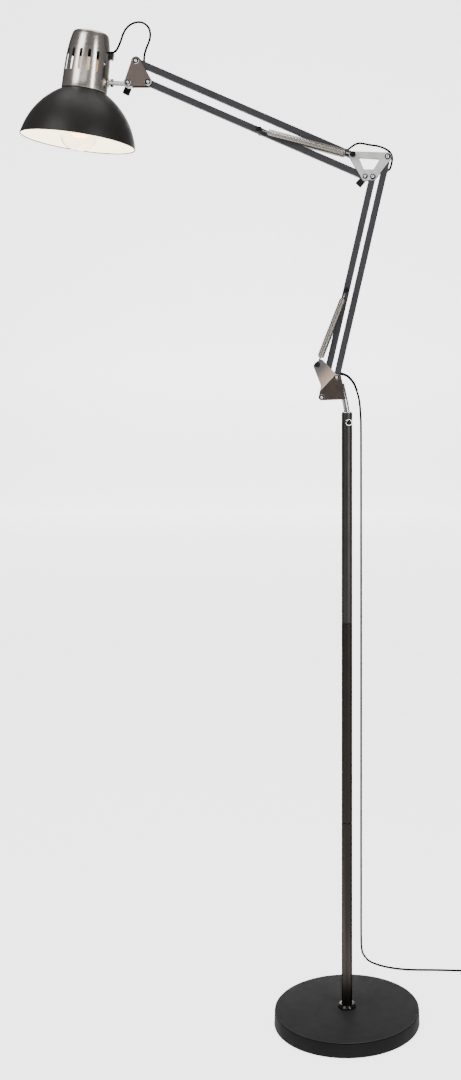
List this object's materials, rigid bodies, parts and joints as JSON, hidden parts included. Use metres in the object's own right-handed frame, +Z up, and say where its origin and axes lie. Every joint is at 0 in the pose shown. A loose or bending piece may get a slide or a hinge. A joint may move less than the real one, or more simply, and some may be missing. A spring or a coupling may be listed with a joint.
{
  "type": "floor lamp",
  "caption": "Floor lamp with a round weighted base, a slim pole, two sprung parallelogram arms, friction joints and a domed shade under a slotted cap, with a mains cord.",
  "frame": {"origin": "centre of the base's underside, on the floor", "axes": "+Z up along the pole, the arms' plane is XZ with the head towards -X, +Y is the lamp's rear"},
  "size_m": [0.8682, 0.4398, 1.7325],
  "materials": {
    "charcoal_coat": "satin powder coat",
    "cast_iron": "rough casting",
    "steel": "plain steel",
    "rubber": "foam rubber",
    "slate_coat": "matte powder coat",
    "black_plastic": "moulded plastic",
    "black_nickel": "dark plated steel",
    "chrome": "bright plate",
    "satin_nickel": "satin plate",
    "bulb_glass": "clear glass",
    "brass": "plain brass",
    "cable": "soft sheath"
  },
  "bodies": {
    "stand": {"base_pad": "rubber", "base_weight": "cast_iron", "base_cover": "charcoal_coat", "base_bolt": "steel", "base_collar": "black_plastic", "pole_lower": "black_nickel", "pole_middle": "black_nickel", "pole_upper": "black_nickel", "pole_bush": "chrome", "clamp_screw": "black_plastic", "mains_cord": "cable", "cord_coil": "cable", "cord_tie": "cable", "plug": "cable"},
    "swivel": {"stem": "chrome", "swivel_plate_front": "satin_nickel", "swivel_plate_rear": "satin_nickel", "lower_link_bolt": "chrome", "lower_arm_bolt": "chrome"},
    "lower_link": {"lower_link_bar": "slate_coat", "lower_spring_pin": "black_plastic", "lower_spring_hook_front": "satin_nickel", "lower_spring_hook_rear": "satin_nickel"},
    "lower_arm": {"lower_arm_bar": "slate_coat", "lead_strain_relief": "cable"},
    "lower_spring": {"lower_spring_front": "satin_nickel", "lower_spring_rear": "satin_nickel"},
    "elbow": {"elbow_plate_front": "satin_nickel", "elbow_plate_rear": "satin_nickel", "elbow_high_bolt": "chrome", "elbow_low_bolt": "chrome", "elbow_clamp_bolt": "chrome", "elbow_pin": "black_plastic"},
    "elbow_wing_nut": {"elbow_wing_nut": "black_plastic"},
    "upper_arm": {"upper_arm_bar": "slate_coat", "arm_lead": "cable"},
    "upper_link": {"upper_link_bar": "slate_coat", "upper_spring_pin": "black_plastic"},
    "upper_spring": {"upper_spring_front": "satin_nickel", "upper_spring_rear": "satin_nickel"},
    "upper_spring_head": {"upper_spring_hook_front": "satin_nickel", "upper_spring_hook_rear": "satin_nickel"},
    "head_bracket": {"head_plate_front": "satin_nickel", "head_plate_rear": "satin_nickel", "head_high_bolt": "chrome", "head_low_bolt": "chrome", "tilt_bolt": "chrome"},
    "head_wing_nut": {"head_wing_nut": "black_plastic"},
    "yoke": {"head_rod": "satin_nickel"},
    "head": {"cap": "satin_nickel", "shade": "charcoal_coat", "shade_ring": "black_plastic", "lamp_holder": "black_plastic", "bulb_glass": "bulb_glass", "bulb_cap": "brass", "cord_grommet": "black_plastic", "rod_collar": "chrome", "head_lead": "cable"},
    "switch": {"push_button": "black_plastic"}
  },
  "joints": [
    {"name": "mast_swivel", "type": "hinge", "parent": "stand", "child": "swivel", "pos_m": [0, 0, 1.0536], "axis": [0, 0, 1], "range_deg": [-110, 110], "deforming": ["mains_cord"]},
    {"name": "lower_arm_pitch", "type": "hinge", "parent": "swivel", "child": "lower_arm", "pos_m": [-0.0178, 0, 1.115], "axis": [0, 1, 0], "range_deg": [-50, 8], "deforming": ["lead_strain_relief"]},
    {"name": "lower_link_pitch", "type": "hinge", "parent": "swivel", "child": "lower_link", "pos_m": [-0.0436, 0, 1.0805], "axis": [0, 1, 0], "range_deg": [-50, 8]},
    {"name": "lower_spring_swing", "type": "hinge", "parent": "swivel", "child": "lower_spring", "pos_m": [-0.051, 0, 1.1368], "axis": [0, 1, 0], "range_deg": [-71, 12], "deforming": ["lower_spring_front", "lower_spring_rear"]},
    {"name": "elbow_level", "type": "hinge", "parent": "lower_arm", "child": "elbow", "pos_m": [0.07, 0, 1.4961], "axis": [0, 1, 0], "range_deg": [-8, 50]},
    {"name": "elbow_nut_turn", "type": "hinge", "parent": "elbow", "child": "elbow_wing_nut", "pos_m": [0.031, 0, 1.4622], "axis": [0, 1, 0], "range_deg": [-180, 180]},
    {"name": "upper_arm_pitch", "type": "hinge", "parent": "elbow", "child": "upper_arm", "pos_m": [0.01, 0, 1.4986], "axis": [0, 1, 0], "range_deg": [-50, 18], "deforming": ["arm_lead"]},
    {"name": "upper_link_pitch", "type": "hinge", "parent": "elbow", "child": "upper_link", "pos_m": [0.031, 0, 1.4622], "axis": [0, 1, 0], "range_deg": [-50, 18]},
    {"name": "upper_spring_swing", "type": "hinge", "parent": "elbow", "child": "upper_spring", "pos_m": [0.01, 0, 1.4986], "axis": [0, 1, 0], "range_deg": [-56, 20.5], "deforming": ["upper_spring_front", "upper_spring_rear"]},
    {"name": "upper_spring_stretch", "type": "slide", "parent": "upper_spring", "child": "upper_spring_head", "axis": [-0.9668, 0, 0.2554], "range_m": [-0.012, 0.0315], "deforming": ["upper_spring_hook_front", "upper_spring_hook_rear"]},
    {"name": "head_level", "type": "hinge", "parent": "upper_arm", "child": "head_bracket", "pos_m": [-0.3645, 0, 1.661], "axis": [0, 1, 0], "range_deg": [-18, 50]},
    {"name": "head_nut_turn", "type": "hinge", "parent": "head_bracket", "child": "head_wing_nut", "pos_m": [-0.3782, 0, 1.6239], "axis": [0, 1, 0], "range_deg": [-180, 180]},
    {"name": "head_tilt", "type": "hinge", "parent": "head_bracket", "child": "yoke", "pos_m": [-0.3782, 0, 1.6239], "axis": [0, 1, 0], "range_deg": [-45, 40]},
    {"name": "head_roll", "type": "hinge", "parent": "yoke", "child": "head", "pos_m": [-0.3782, 0, 1.6227], "axis": [-0.9986, 0, 0.0523], "range_deg": [-40, 40], "deforming": ["head_lead"]},
    {"name": "switch_press", "type": "slide", "parent": "head", "child": "switch", "axis": [-0.1219, 0, -0.9925], "range_m": [0, 0.002], "stiffness_N_per_m": 600}
  ],
  "couplings": [
    {"joint": "lower_link_pitch", "follows": "lower_arm_pitch", "ratio": 1},
    {"joint": "lower_spring_swing", "follows": "lower_arm_pitch", "ratio": 1.42},
    {"joint": "elbow_level", "follows": "lower_arm_pitch", "ratio": -1},
    {"joint": "upper_link_pitch", "follows": "upper_arm_pitch", "ratio": 1},
    {"joint": "upper_spring_swing", "follows": "upper_arm_pitch", "ratio": 1.1},
    {"joint": "upper_spring_stretch", "follows": "upper_arm_pitch", "m_per_rad": -0.0345},
    {"joint": "head_level", "follows": "upper_arm_pitch", "ratio": -1}
  ]
}
